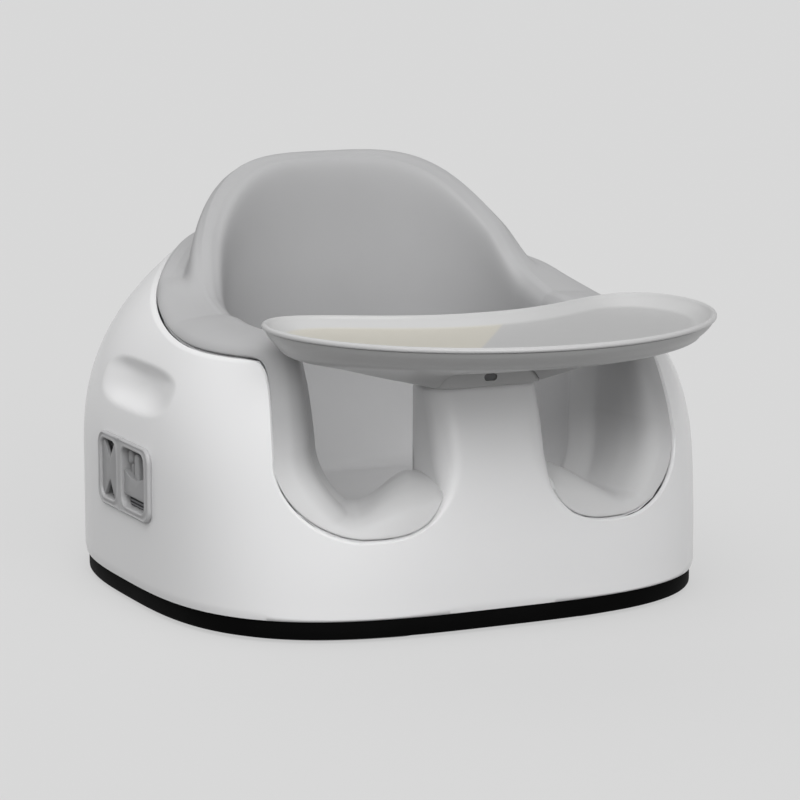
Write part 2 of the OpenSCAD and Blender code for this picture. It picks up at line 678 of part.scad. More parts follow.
module tray_screws() {
    color("silver") for (p = screw_spots) translate([p.x, p.y, bracket_bottom + 0.6]) {
        cylinder(r = 3, h = 2.4);
        cylinder(r = 1.5, h = dish_under - bracket_bottom - 3);
    }
}
module release_button() {
    color("gray") {
        translate([-button_size.x / 2, button_y, button_z]) cube(button_size);
        translate([0, -bracket_front + 0.8, button_z + button_size.z / 2]) along_y(4)
            rounded_rect(button_face.x - 0.6, button_face.y - 0.6, button_face.y / 2 - 0.31);
    }
}
// Leg of the button: it hooks into the pocket in the post
module button_catch() {
    color("gray") translate([-catch_width / 2 + 2, catch_y + 2, post_top - 11])
        cube([catch_width - 4, 2.6, button_z - 0.1 - post_top + 11]);
}
spring_r = 2.2;
spring_wire = 0.5;
spring_turns = 6;
module latch_spring() {
    steps = 12 * spring_turns;
    sides = 6;
    start = button_y + button_size.y + lay_clear;
    long = spring_room - 2 * lay_clear;
    rows = [for (i = [0:steps]) let(a = 360 * spring_turns * i / steps)
        [for (s = [0:sides - 1]) let(b = 360 * s / sides, r = spring_r + spring_wire * cos(b))
            [r * cos(a), start + spring_wire + (long - 2 * spring_wire) * i / steps + spring_wire * sin(b),
                button_z + button_size.z / 2 + r * sin(a)]]];
    color("silver") capped_loft(rows,
        [spring_r, start + spring_wire, button_z + button_size.z / 2],
        [spring_r, start + long - spring_wire, button_z + button_size.z / 2]);
}

// Everything above is drawn about the middle of the shell
origin_y = (tray_radius + tray_half_depth - tray_y - shell_rear) / 2;
module placed() {
    translate([0, origin_y, 0]) children();
}

placed() outer_shell();
placed() seat_pan();
placed() base_plate();
placed() grip_ring();
placed() foot_pad(-1, -1);  // foot_pad_front_left
placed() foot_pad(1, -1);  // foot_pad_front_right
placed() foot_pad(-1, 1);  // foot_pad_rear_left
placed() foot_pad(1, 1);  // foot_pad_rear_right
placed() base_screws();
placed() window_bezel(false);  // window_bezel_left
placed() window_bezel(true);  // window_bezel_right
placed() strap_pocket(false);  // strap_pocket_left
placed() strap_pocket(true);  // strap_pocket_right
placed() chair_strap(false);  // chair_strap_left
placed() chair_strap(true);  // chair_strap_right
placed() buckle_socket(false);  // buckle_socket_left
placed() buckle_socket(true);  // buckle_socket_right
placed() buckle_plug(false);  // buckle_plug_left
placed() buckle_plug(true);  // buckle_plug_right
placed() foam_insert();
placed() tray_dish();
placed() tray_funnel();
placed() tray_bracket();
placed() tray_screws();
placed() release_button();
placed() button_catch();
placed() latch_spring();
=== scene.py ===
# %% [markdown]
# # A baby floor seat
# The seat has a glossy white shell, a grey foam insert and a crescent play tray on a post.
# The CAD model is loaded first. It fixes every size, and each piece made here stands on it.

# %% Load the fixed frame
import math

import bpy
import numpy as np
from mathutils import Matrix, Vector


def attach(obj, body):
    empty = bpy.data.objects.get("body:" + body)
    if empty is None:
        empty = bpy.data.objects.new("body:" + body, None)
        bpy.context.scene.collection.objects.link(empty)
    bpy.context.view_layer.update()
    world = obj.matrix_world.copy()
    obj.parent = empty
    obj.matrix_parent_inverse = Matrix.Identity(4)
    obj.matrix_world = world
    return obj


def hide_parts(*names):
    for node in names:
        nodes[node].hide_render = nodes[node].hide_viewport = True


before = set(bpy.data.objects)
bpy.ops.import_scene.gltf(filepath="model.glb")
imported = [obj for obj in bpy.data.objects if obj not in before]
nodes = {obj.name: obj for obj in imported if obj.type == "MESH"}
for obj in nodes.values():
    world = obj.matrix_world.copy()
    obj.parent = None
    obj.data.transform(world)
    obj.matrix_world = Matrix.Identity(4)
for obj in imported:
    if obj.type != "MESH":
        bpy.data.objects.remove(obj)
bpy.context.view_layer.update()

print("CAD nodes:", len(nodes))

# %% [markdown]
# ## Grids
# Every moulded form here is a grid of points: rows that run once round the form, one above
# the other. Working in whole numpy arrays keeps each formula readable. All lengths in the
# formulas are millimetres, and the mesh is written in metres.

# %% Helpers that turn a grid of points into a mesh
MM = 0.001
ORIGIN = np.array([0.0, 48.1, 0.0])     # the shell's middle, from the middle of the whole


def grid_faces(rows, cols, wrap_rows, start=0):
    """Quads between neighbours of a grid that closes on itself round each row."""
    r = np.arange(rows if wrap_rows else rows - 1)[:, None]
    c = np.arange(cols)[None, :]
    r2, c2 = (r + 1) % rows, (c + 1) % cols
    quads = np.stack([r * cols + c, r * cols + c2, r2 * cols + c2, r2 * cols + c], -1)
    return quads.reshape(-1, 4) + start


def make_piece(name, verts, faces, material, smooth_angle=40):
    """A smooth shaded mesh object at the origin, from points in mm and lists of faces."""
    mesh = bpy.data.meshes.new(name)
    points = ((np.asarray(verts) + ORIGIN) * MM).tolist()
    mesh.from_pydata(points, [], [list(map(int, face)) for face in faces])
    mesh.validate()
    mesh.materials.append(material)
    mesh.shade_smooth()
    mesh.set_sharp_from_angle(angle=math.radians(smooth_angle))
    piece = bpy.data.objects.new(name, mesh)
    bpy.context.scene.collection.objects.link(piece)
    return piece


def loft(name, rows, material, closed=False, smooth_angle=40):
    """Skin over rows of points (rows, cols, 3). closed joins the last row to the first;
    otherwise each end is closed by a fan round the middle of its row."""
    rows = np.asarray(rows)
    count, cols = rows.shape[:2]
    verts = rows.reshape(-1, 3)
    faces = grid_faces(count, cols, closed).tolist()
    if not closed:
        verts = np.vstack([verts, rows[0].mean(0), rows[-1].mean(0)])
        c = np.arange(cols)
        faces += np.stack([(c + 1) % cols, c, np.full(cols, count * cols)], -1).tolist()
        top = (count - 1) * cols
        last_fan = [top + c, top + (c + 1) % cols, np.full(cols, count * cols + 1)]
        faces += np.stack(last_fan, -1).tolist()
    return make_piece(name, verts, faces, material, smooth_angle)


def smooth(t):
    """0 below 0, 1 above 1, and an S curve between."""
    t = np.clip(t, 0, 1)
    return t * t * (3 - 2 * t)


def mix(a, b, t):
    return a + (b - a) * t


def spline_rows(rows, counts):
    """Curve through control rows: a Catmull-Rom cubic between each pair, counts[i] steps."""
    rows = np.asarray(rows, float)
    padded = np.concatenate([2 * rows[:1] - rows[1:2], rows, 2 * rows[-1:] - rows[-2:-1]])
    out = []
    for i, n in enumerate(counts):
        p0, p1, p2, p3 = padded[i:i + 4]
        t = np.arange(n).reshape(-1, *([1] * p0.ndim)) / n
        out.append(0.5 * (2 * p1 + (p2 - p0) * t + (2 * p0 - 5 * p1 + 4 * p2 - p3) * t ** 2
                          + (3 * p1 - p0 - 3 * p2 + p3) * t ** 3))
    return np.concatenate(out + [rows[-1:]])


# %% [markdown]
# ## Materials
# The real seat has three main finishes: white polypropylene with a soft gloss, foam with a
# fine matt skin, and a satin grey tray. A shader graph gives each its colour and, where it
# wants them, a slight cloud in that colour and a fine grain in its bump, all on Object
# coordinates.

# %% A recipe for moulded surfaces
def moulded(name, colour, roughness, cloud=0.03, grain_scale=900, grain=0.04, specular=0.5):
    """Principled shader: colour varied by large soft noise, bump from fine noise."""
    material = bpy.data.materials.new(name)
    material.use_nodes = True
    tree = material.node_tree
    shader = tree.nodes["Principled BSDF"]
    shader.inputs["Specular IOR Level"].default_value = specular
    place = tree.nodes.new("ShaderNodeTexCoord")

    def noise(scale, detail):
        node = tree.nodes.new("ShaderNodeTexNoise")
        node.inputs["Scale"].default_value = scale
        node.inputs["Detail"].default_value = detail
        tree.links.new(place.outputs["Object"], node.inputs["Vector"])
        return node.outputs["Fac"]

    def ramp(factor, low, high, low_at=0.3, high_at=0.7):
        node = tree.nodes.new("ShaderNodeValToRGB")
        node.color_ramp.elements[0].position = low_at
        node.color_ramp.elements[1].position = high_at
        node.color_ramp.elements[0].color = (*low, 1)
        node.color_ramp.elements[1].color = (*high, 1)
        tree.links.new(factor, node.inputs["Fac"])
        return node.outputs["Color"]

    dark = [c * (1 - cloud) for c in colour]
    light = [min(c * (1 + cloud), 1) for c in colour]
    tree.links.new(ramp(noise(14, 3), dark, light), shader.inputs["Base Color"])
    tree.links.new(ramp(noise(60, 4), [roughness * 0.97] * 3, [roughness * 1.03] * 3),
                   shader.inputs["Roughness"])
    bump = tree.nodes.new("ShaderNodeBump")
    bump.inputs["Strength"].default_value = grain
    bump.inputs["Distance"].default_value = 0.0003
    if grain > 0:
        tree.links.new(noise(grain_scale, 2), bump.inputs["Height"])
        tree.links.new(bump.outputs["Normal"], shader.inputs["Normal"])
    return material


def paint_light_by_height(material, low, high, below, above):
    """Painted light: multiply a colour by below where z + 0.35 y is under low metres, by above past
    high.
    """
    tree = material.node_tree
    base = tree.nodes["Principled BSDF"].inputs["Base Color"]
    source = base.links[0].from_socket
    place = tree.nodes.new("ShaderNodeTexCoord")
    split = tree.nodes.new("ShaderNodeSeparateXYZ")
    tree.links.new(place.outputs["Object"], split.inputs["Vector"])
    height = tree.nodes.new("ShaderNodeMapRange")
    height.interpolation_type = "SMOOTHSTEP"
    height.inputs["From Min"].default_value = low
    height.inputs["From Max"].default_value = high
    slant = tree.nodes.new("ShaderNodeMath")
    slant.operation = "MULTIPLY_ADD"
    slant.inputs[1].default_value = 0.35
    tree.links.new(split.outputs["Y"], slant.inputs[0])
    tree.links.new(split.outputs["Z"], slant.inputs[2])
    tree.links.new(slant.outputs[0], height.inputs["Value"])
    tint = tree.nodes.new("ShaderNodeMix")
    tint.data_type = "RGBA"
    tint.inputs[6].default_value = (*below, 1)
    tint.inputs[7].default_value = (*above, 1)
    tree.links.new(height.outputs["Result"], tint.inputs[0])
    product = tree.nodes.new("ShaderNodeMix")
    product.data_type = "RGBA"
    product.blend_type = "MULTIPLY"
    product.clamp_result = False
    product.inputs[0].default_value = 1
    tree.links.new(source, product.inputs[6])
    tree.links.new(tint.outputs[2], product.inputs[7])
    tree.links.new(product.outputs[2], base)


shell_white = moulded("shell_white", (0.80, 0.80, 0.805), 0.26, cloud=0.0, grain=0.0)
pan_white = moulded("pan_white", (0.72, 0.72, 0.73), 0.45, cloud=0.01)
foam_grey = moulded("foam_grey", (0.435, 0.435, 0.44), 0.50, cloud=0.02,
                    grain_scale=1400, grain=0.10)
# Painted light: the foam's low parts, such as the lips in the leg openings, are painted 1.42 times
# lighter and its high parts a little darker, standing in for how light falls there.
paint_light_by_height(foam_grey, 0.052, 0.112, (1.42, 1.42, 1.41), (0.92, 0.92, 0.92))
tray_grey = moulded("tray_grey", (0.44, 0.44, 0.44), 0.32, cloud=0.012, grain=0.03)
bezel_grey = moulded("bezel_grey", (0.44, 0.44, 0.445), 0.42, cloud=0.03, grain=0.08)
pocket_grey = moulded("pocket_grey", (0.03, 0.03, 0.032), 0.6, cloud=0.05)
buckle_grey = moulded("buckle_grey", (0.33, 0.33, 0.335), 0.38, cloud=0.03)
grip_black = moulded("grip_black", (0.002, 0.002, 0.002), 0.6, cloud=0.2, grain=0.2,
                     specular=0.03)
pad_grey = moulded("pad_grey", (0.42, 0.42, 0.43), 0.7, cloud=0.05, grain=0.3)
screw_steel = moulded("screw_steel", (0.5, 0.5, 0.52), 0.35, cloud=0.05)
screw_steel.node_tree.nodes["Principled BSDF"].inputs["Metallic"].default_value = 1
button_grey = moulded("button_grey", (0.10, 0.10, 0.102), 0.5)


def dish_paint():
    """The dish: a pale rim, a duller floor, and a painted warm sheen over the floor's left part.

    On Object coordinates the floor lies below z = 190 mm and the sheen's border is the line
    where 0.822 (x - 34) = 0.57 (y + 114), y counted from the shell's middle.
    """
    material = moulded("dish_grey", (0.5, 0.5, 0.5), 0.3, cloud=0.01, grain=0.0)
    tree = material.node_tree
    place = tree.nodes.new("ShaderNodeTexCoord")
    split = tree.nodes.new("ShaderNodeSeparateXYZ")
    tree.links.new(place.outputs["Object"], split.inputs["Vector"])

    def calculate(operation, first, second):
        node = tree.nodes.new("ShaderNodeMath")
        node.operation = operation
        for socket, value in zip(node.inputs, (first, second)):
            if isinstance(value, float):
                socket.default_value = value
            else:
                tree.links.new(value, socket)
        return node.outputs[0]

    def ease(value, low, high):
        """0 below low, 1 above high, smooth between."""
        node = tree.nodes.new("ShaderNodeMapRange")
        node.interpolation_type = "SMOOTHSTEP"
        node.inputs["From Min"].default_value = low
        node.inputs["From Max"].default_value = high
        tree.links.new(value, node.inputs["Value"])
        return node.outputs["Result"]

    def blend(share, first, second):
        node = tree.nodes.new("ShaderNodeMix")
        node.data_type = "RGBA"
        for socket, value in ((node.inputs[6], first), (node.inputs[7], second)):
            if isinstance(value, tuple):
                socket.default_value = (*value, 1)
            else:
                tree.links.new(value, socket)
        tree.links.new(share, node.inputs[0])
        return node.outputs[2]

    y_here = calculate("ADD", split.outputs["Y"], 0.114 - float(ORIGIN[1]) * MM)
    x_here = calculate("ADD", split.outputs["X"], -0.034)
    past_border = calculate("SUBTRACT", calculate("MULTIPLY", y_here, 0.57),
                            calculate("MULTIPLY", x_here, 0.822))
    # The warm colour is a painted sheen, laid into the colour of the floor's left part.
    plain, painted_sheen = (0.435, 0.435, 0.435), (0.53, 0.505, 0.435)
    floor_colour = blend(ease(past_border, -0.0015, 0.0015), plain, painted_sheen)
    raised = ease(split.outputs["Z"], 0.1890, 0.1905)
    tree.links.new(blend(raised, floor_colour, (0.52, 0.52, 0.52)),
                   tree.nodes["Principled BSDF"].inputs["Base Color"])
    return material


dish_grey = dish_paint()


def woven(name, colour):
    """Webbing: ribs across the strap, from two sine waves on Object coordinates."""
    material = moulded(name, colour, 0.85, cloud=0.3, grain=0.4, specular=0.2)
    tree = material.node_tree
    place = tree.nodes.new("ShaderNodeTexCoord")
    ribs = tree.nodes.new("ShaderNodeTexWave")
    ribs.bands_direction = "Z"
    ribs.inputs["Scale"].default_value = 130
    ribs.inputs["Distortion"].default_value = 1.0
    bump = tree.nodes.new("ShaderNodeBump")
    bump.inputs["Strength"].default_value = 0.8
    bump.inputs["Distance"].default_value = 0.0006
    tree.links.new(place.outputs["Object"], ribs.inputs["Vector"])
    tree.links.new(ribs.outputs["Fac"], bump.inputs["Height"])
    tree.links.new(bump.outputs["Normal"], tree.nodes["Principled BSDF"].inputs["Normal"])
    tone = tree.nodes.new("ShaderNodeMix")
    tone.data_type = "RGBA"
    tone.inputs[6].default_value = (*[0.25 * c for c in colour], 1)
    tone.inputs[7].default_value = (*[2.6 * c for c in colour], 1)
    tree.links.new(ribs.outputs["Fac"], tone.inputs[0])
    tree.links.new(tone.outputs[2], tree.nodes["Principled BSDF"].inputs["Base Color"])
    return material


webbing = woven("webbing_dark", (0.11, 0.11, 0.115))

# %% [markdown]
# ## Camera, light and floor
# The camera stands where the photographer's did: it was worked out from the outlines of
# the base, the tray's rim and the leg openings. A long lens far away keeps upright lines
# nearly parallel. Wide, even light suits pale plastic, because small lamps burn spots on it.

# %% Place the camera
view_turn, view_lift = math.radians(24.531), math.radians(10.45)
view_distance, focal_px, frame_px = 2167.6, 3251.0, 800
look_at = Vector((7.95, ORIGIN[1], 117.04)) * MM
backward = Vector((-math.sin(view_turn) * math.cos(view_lift),
                   -math.cos(view_turn) * math.cos(view_lift), math.sin(view_lift)))
camera_data = bpy.data.cameras.new("camera")
camera_data.sensor_width = 36
camera_data.lens = focal_px / frame_px * camera_data.sensor_width
camera_data.clip_end = 100
camera = bpy.data.objects.new("camera", camera_data)
camera.location = look_at + backward * view_distance * MM
camera.rotation_euler = backward.to_track_quat("Z", "Y").to_euler()
bpy.context.scene.collection.objects.link(camera)
bpy.context.scene.camera = camera
bpy.context.scene.view_settings.view_transform = "Standard"
print("lens", round(camera_data.lens, 1), "mm")


# %% Lights: four wide suns and an even world
def sun(name, energy, place, aim, spread):
    """A sun at place that points at aim; spread is its angle in degrees."""
    data = bpy.data.lights.new(name, "SUN")
    data.energy = energy
    data.angle = math.radians(spread)
    light = bpy.data.objects.new(name, data)
    light.location = place
    light.rotation_euler = (Vector(place) - Vector(aim)).to_track_quat("Z", "Y").to_euler()
    bpy.context.scene.collection.objects.link(light)


seat_middle = (0, ORIGIN[1] * MM, 0.14)
# Strengths were solved so that shell, foam and tray match the photograph's greys together.
for name, energy, toward, spread in (
        ("front_low", 0.85, (0, -1, 0.36), 50), ("front_high", 0.6, (-0.1, -1, 1), 50),
        ("left_high", 1.1, (-1, -1.2, 1.8), 50), ("back_high", 0.42, (0, 1, 1.2), 60)):
    place = tuple(a + 3 * t for a, t in zip(seat_middle, toward))
    sun(name, energy, place, seat_middle, spread)

backdrop_grey = 0.712
world = bpy.data.worlds.new("studio")
bpy.context.scene.world = world
world.use_nodes = True
world_tree = world.node_tree
world_tree.nodes.clear()
sky = world_tree.nodes.new("ShaderNodeBackground")
sky.inputs["Color"].default_value = (1, 1, 1, 1)
sky.inputs["Strength"].default_value = 0.42
seen_sky = world_tree.nodes.new("ShaderNodeBackground")
seen_sky.inputs["Color"].default_value = (backdrop_grey,) * 3 + (1,)
seen_sky.inputs["Strength"].default_value = 1
rays = world_tree.nodes.new("ShaderNodeLightPath")
either = world_tree.nodes.new("ShaderNodeMixShader")
sky_out = world_tree.nodes.new("ShaderNodeOutputWorld")
world_tree.links.new(rays.outputs["Is Camera Ray"], either.inputs["Fac"])
world_tree.links.new(sky.outputs[0], either.inputs[1])
world_tree.links.new(seen_sky.outputs[0], either.inputs[2])
world_tree.links.new(either.outputs[0], sky_out.inputs["Surface"])

# %% The floor, a pale sheet that fills the view
floor_half = 14.0
floor_mesh = bpy.data.meshes.new("floor")
floor_corners = [(floor_half * x, floor_half * y, 0)
                 for x, y in ((-1, -1), (1, -1), (1, 1), (-1, 1))]
floor_mesh.from_pydata(floor_corners, [], [(0, 1, 2, 3)])
floor = bpy.data.objects.new("floor", floor_mesh)
bpy.context.scene.collection.objects.link(floor)
floor_paint = moulded("floor_paint", (0.62, 0.62, 0.62), 0.9, cloud=0.0, grain=0.0,
                      specular=0.0)
floor_mesh.materials.append(floor_paint)
# The camera sees most of the floor as an even grey with a faint shadow, and light that it
# throws back is dimmer still, so faces turned downwards stay dark, as in the photograph.
tree = floor_paint.node_tree


def node_of(kind, **values):
    """A shader node with the values of some of its sockets set."""
    node = tree.nodes.new(kind)
    for socket, value in values.items():
        node.inputs[socket].default_value = value
    return node


dim = node_of("ShaderNodeBsdfDiffuse", Color=(0.14, 0.14, 0.14, 1))
even = node_of("ShaderNodeEmission", Color=(backdrop_grey,) * 3 + (1,))
seen = node_of("ShaderNodeMixShader", Fac=0.72)
tree.links.new(tree.nodes["Principled BSDF"].outputs[0], seen.inputs[1])
tree.links.new(even.outputs[0], seen.inputs[2])
floor_rays = node_of("ShaderNodeLightPath")
choose = node_of("ShaderNodeMixShader")
tree.links.new(floor_rays.outputs["Is Diffuse Ray"], choose.inputs["Fac"])
tree.links.new(seen.outputs[0], choose.inputs[1])
tree.links.new(dim.outputs[0], choose.inputs[2])
tree.links.new(choose.outputs[0], tree.nodes["Material Output"].inputs["Surface"])

# %% [markdown]
# ## The shell's surface
# The shell is a stack of superellipse rings that roll inwards as they rise. Its upper edge
# dips into a U at each leg and climbs over the shoulders to the back. These are the CAD
# source's formulas, now read at far more points, so the gloss runs without facets.

# %% The shell's formulas
def half_width(z):
    """Half of the shell's width at height z."""
    return 190 - 36 * (np.maximum(z - 82, 0) / 100) ** 2.6


def rear_depth(z):
    return 182 - 14 * (np.maximum(z - 117, 0) / 100) ** 4


def front_depth(z):
    """The front leans back along an arc of 327 mm radius."""
    return 173 - 327 + np.sqrt(327 ** 2 - np.maximum(z - 30, 0) ** 2)


def ellipse_xy(psi, a, front, rear, n_front, n_rear):
    """Superellipse point, psi degrees from straight ahead: 1/r = (|sin/a|^n + |cos/b|^n)^(1/n)."""
    s, c = np.sin(np.radians(psi)), np.cos(np.radians(psi))
    n = np.where(c > 0, n_front, n_rear)
    b = np.where(c > 0, front, rear)
    r = ((np.abs(s) / a) ** n + (np.abs(c) / b) ** n) ** (-1 / n)
    return np.stack([r * s, -r * c], -1)


def ring_xy(psi, z, inset):
    """Point of the shell's ring at height z, moved inwards by inset."""
    p = ellipse_xy(psi, half_width(z) - inset, front_depth(z) - inset, rear_depth(z) - inset,
                   3.2, 2.8)
    p[..., 0] *= 1 + 0.0002 * p[..., 1]
    return p


leg_angle, leg_spread, leg_bottom, leg_depth = 29.5, 17.0, 63.0, 50.0
leg_in, leg_out = leg_angle - leg_spread, leg_angle + leg_spread
flank_top, leg_level = leg_out + 11.5, leg_bottom + leg_depth
shoulder_height, shoulder_rise = 170.0, 44.0


def edge_z(psi):
    """Height of the shell's edge: the leg's U, its outer flank, then the rising shoulder."""
    p = np.abs(psi)
    u = np.minimum(np.abs(p - leg_angle) / leg_spread, 1)
    n = np.where(p < leg_angle, 3.0, 1.8)
    legs = leg_level - leg_depth * (1 - u ** n) ** (1 / n)
    flank = shoulder_height - (shoulder_height - leg_level) * (
        np.clip(flank_top - p, 0, None) / (flank_top - leg_out)) ** 5
    shoulder = shoulder_height + shoulder_rise * smooth((p - 62) / 92) ** 1.3
    return np.where(p <= leg_out, legs, np.where(p < flank_top, flank, shoulder))


def lift(xy, z):
    """Points with the plan xy at height z."""
    z = np.broadcast_to(z, xy.shape[:-1])
    return np.concatenate([xy, z[..., None]], -1)


# %% [markdown]
# ## The shell with its post
# On the real seat the post grows out of the front between the legs without a seam. So one
# sheet of columns covers both: columns near the middle fan out along the post's corners,
# and from there a strip runs back along the post's side. The same closed profile turns
# over the thin edge everywhere else, and comes back down on the inside.

# %% Where each column of the shell ends
post_half, post_top, post_rear = 38.0, 152.0, 116.0
hem_z = 14.0


def flank_psi(z):
    """Direction of a leg opening's inner flank at height z, the U's formula turned round."""
    drop = np.clip((leg_level - z) / leg_depth, 0, 1)
    return leg_angle - leg_spread * (1 - drop ** 3) ** (1 / 3)


def psi_at(x, z):
    """Direction of the shell's ring point at height z that lies x to the side, by bisection."""
    low, high = np.zeros_like(x), np.full_like(x, 40.0)
    for _ in range(40):
        middle = (low + high) / 2
        inside = ring_xy(middle, z, 0)[..., 0] < x
        low, high = np.where(inside, middle, low), np.where(inside, high, middle)
    return (low + high) / 2


def rounding(distance, radius):
    """How far a surface has fallen back at this distance from an edge of that radius."""
    d = np.clip(distance, 0, radius)
    return radius - np.sqrt(np.maximum(radius ** 2 - (radius - d) ** 2, 0))


def post_width(z):
    """Half width of the post: upright, with a rounded top, and the U's flank below."""
    flank_x = ring_xy(flank_psi(z), z, 0)[..., 0]
    soft_max = 0.5 * (post_half + flank_x + np.sqrt((post_half - flank_x) ** 2 + 1.5))
    return soft_max - rounding(post_top - z, 3.0)


top_cols, corner_cols, leg_cols, flank_cols = 26, 44, 76, 16
corner_z = mix(post_top, 70.0, np.arange(corner_cols) / corner_cols)
top_x = post_width(np.array([post_top]))[0] * np.arange(top_cols) / top_cols
half_psi = np.concatenate([
    psi_at(top_x, np.full(top_cols, post_top)),
    psi_at(post_width(corner_z), corner_z)])
half_edge = np.concatenate([np.full(top_cols, post_top), corner_z])
u_start = np.degrees(np.arccos((leg_angle - flank_psi(np.array([70.0]))[0]) / leg_spread))
u_turn = np.radians(mix(u_start, 180.0, np.arange(leg_cols) / leg_cols))
leg_psi = leg_angle - leg_spread * np.cos(u_turn)
flank_p = leg_out + (flank_top - leg_out) * (np.arange(flank_cols) / flank_cols) ** 2
side_psi = np.concatenate([          # close together where the side has its recess and window
    np.linspace(flank_top, 70, 10, endpoint=False), np.linspace(70, 110, 124, endpoint=False),
    np.linspace(110, 180, 52)])
rest_psi = np.concatenate([leg_psi, flank_p, side_psi])
half_psi = np.concatenate([half_psi, rest_psi])
half_edge = np.concatenate([half_edge, edge_z(rest_psi)])
near = top_cols + corner_cols
hem_psi = half_psi.copy()
first_leg = near + 24
hem_psi[:first_leg] = half_psi[first_leg] * (np.arange(first_leg) / first_leg)
print("columns in half the shell:", len(half_psi))

# %% The hand recess and the strap window
def box_gap(a, b, half_a, half_b, r):
    """Distance outside a rectangle whose corners have radius r; negative inside."""
    u, v = np.abs(a) - (half_a - r), np.abs(b) - (half_b - r)
    return np.hypot(np.maximum(u, 0), np.maximum(v, 0)) + np.minimum(np.maximum(u, v), 0) - r


recess_y, recess_z, recess_tilt = -3.0, 141.0, math.radians(21)
recess_half, recess_above, recess_below, recess_deep = 57.0, 14.5, 18.5, 9.5
window_y, window_z, window_deep = -8.5, 84.0, 27.0


def dents(points):
    """How far a side surface is pushed in: an oval scoop, and a deep box for the strap.
    The scoop's upper wall is steep, and its lower wall is a gentle slope for the palm."""
    x, y, z = np.moveaxis(points, -1, 0)
    along, up = y - recess_y, (z - recess_z) / math.cos(recess_tilt) - 2.0
    tall = np.where(up > 0, recess_above, recess_below)
    oval = ((np.abs(along) / recess_half) ** 3 + (np.abs(up) / tall) ** 3) ** (1 / 3)
    scoop = recess_deep * np.clip(1 - oval ** 2.4, 0, 1) ** 1.5
    window = window_deep * smooth(-box_gap(y - window_y, z - window_z, 39.5, 21.0, 10) / 1.2)
    return np.where(x > 100, np.maximum(scoop, window), 0)


# %% The sheet itself
def mirrored(half):
    """The right half's columns, then the left half's, without the two they share."""
    left = half[:, -2:0:-1] * np.array([-1, 1, 1])
    return np.concatenate([half, left], 1)


outer_rows, strip_rows, inner_rows = 92, 12, 24
edge = half_edge[None, :]
is_post = np.arange(len(half_psi))[None, :] < near
post_share = np.where(is_post, smooth((edge - 70) / 16), 0.0)   # how far back the strip runs


def corner_radius(z):
    """Radius of the upright corner between the shell's front and an opening."""
    return mix(1.2, 15.0, smooth((z - 66) / 46))


def outer_point(t, hem_inset=0.0):
    """Column's point at share t of its height, with the post's corner rounded."""
    z = mix(hem_z, edge, t)
    psi = mix(hem_psi[None, :], half_psi[None, :], t ** 1.6)
    p = ring_xy(psi, z, hem_inset)
    x = np.minimum(p[..., 0], np.where(is_post | (psi < leg_angle), post_width(z), 1e9) + 0 * psi)
    x = np.where(is_post, x, p[..., 0])
    over = np.where(z > 66, post_width(z) - x, 99.0)
    radius = corner_radius(z)
    fall = np.where(psi < leg_angle, rounding(over, radius), 0)
    fall = fall + np.where(is_post, rounding(post_top - z, 3.0), 0)
    fall = fall + np.where(is_post, 0, rounding((edge - z), 1.0))
    r = np.hypot(p[..., 0], p[..., 1])
    shift = np.where(is_post, 0, fall)
    xy = p * (1 - shift / r)[..., None]
    xy[..., 0] = np.where(is_post, x, xy[..., 0])
    xy[..., 1] = np.where(is_post, p[..., 1] + fall, xy[..., 1])
    return lift(xy, z)


t_out = np.linspace(0, 1, outer_rows)[:, None]
t_out = mix(t_out, 1 - (1 - t_out) ** 2, 0.35)     # closer rows near the edge
outer = outer_point(t_out)
rim_out = outer[-1]


def inner_point(t):
    """Inside of the shell, and in the post's region its rear face."""
    z = mix(hem_z, edge - 0.6 * (1 - is_post), t)
    psi = mix(hem_psi[None, :], half_psi[None, :], t ** 1.6)
    wall = ring_xy(psi, z, 3.0)
    x = np.minimum(wall[..., 0], np.where(is_post, post_width(z), 1e9))
    back = post_share * smooth((z - 40) / 22)
    inner_y = wall[..., 1]
    rear_y = -post_rear - rounding(post_width(z) - x, 5.0) - rounding(post_top - z, 3.0)
    y = np.where(is_post, mix(inner_y, rear_y, back), inner_y)
    return lift(np.stack([np.where(is_post, x, wall[..., 0]), y], -1), z)


inner = inner_point(np.linspace(1, 0, inner_rows)[:, None])
rim_in = inner[0]
s = np.linspace(0, 1, strip_rows + 2)[1:-1, None, None]
strip = mix(rim_out[None], rim_in[None], s)
bulge = np.sin(np.pi * s[..., 0]) * np.where(is_post, 0, 0.6)
strip[..., 2] += bulge
hem = np.stack([lift(ring_xy(hem_psi, np.full_like(hem_psi, hem_z), h), hem_z + dz)
                for h, dz in ((2.2, 0.0), (0.8, 0.6))])
outer[..., 0] -= dents(outer)
inner[..., 0] -= dents(inner)
shell_half = np.concatenate([hem, outer[2:], strip, inner])
rows = mirrored(shell_half)
shell = loft("shell", rows, shell_white, closed=True, smooth_angle=50)
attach(shell, "base")
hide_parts("outer_shell")
print("shell faces", len(shell.data.polygons))

# %% The black sole ring, and foot pads under it with round ends
sole_psi = np.linspace(-180, 180, 360, endpoint=False)
sole_profile = [(28, 2.5), (3.6, 2.5), (2.8, 2.9), (2.3, 3.6), (2.2, 4.4), (2.2, 13.6),
                (2.5, hem_z), (5.5, hem_z), (5.5, 6.0), (28, 6.0)]
sole = loft("sole", [lift(ring_xy(sole_psi, hem_z, inset), z) for inset, z in sole_profile],
            grip_black, closed=True)
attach(sole, "base")
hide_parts("grip_ring")

pad_mid, pad_half, pad_thick = 16.8, 7.0, 2.5


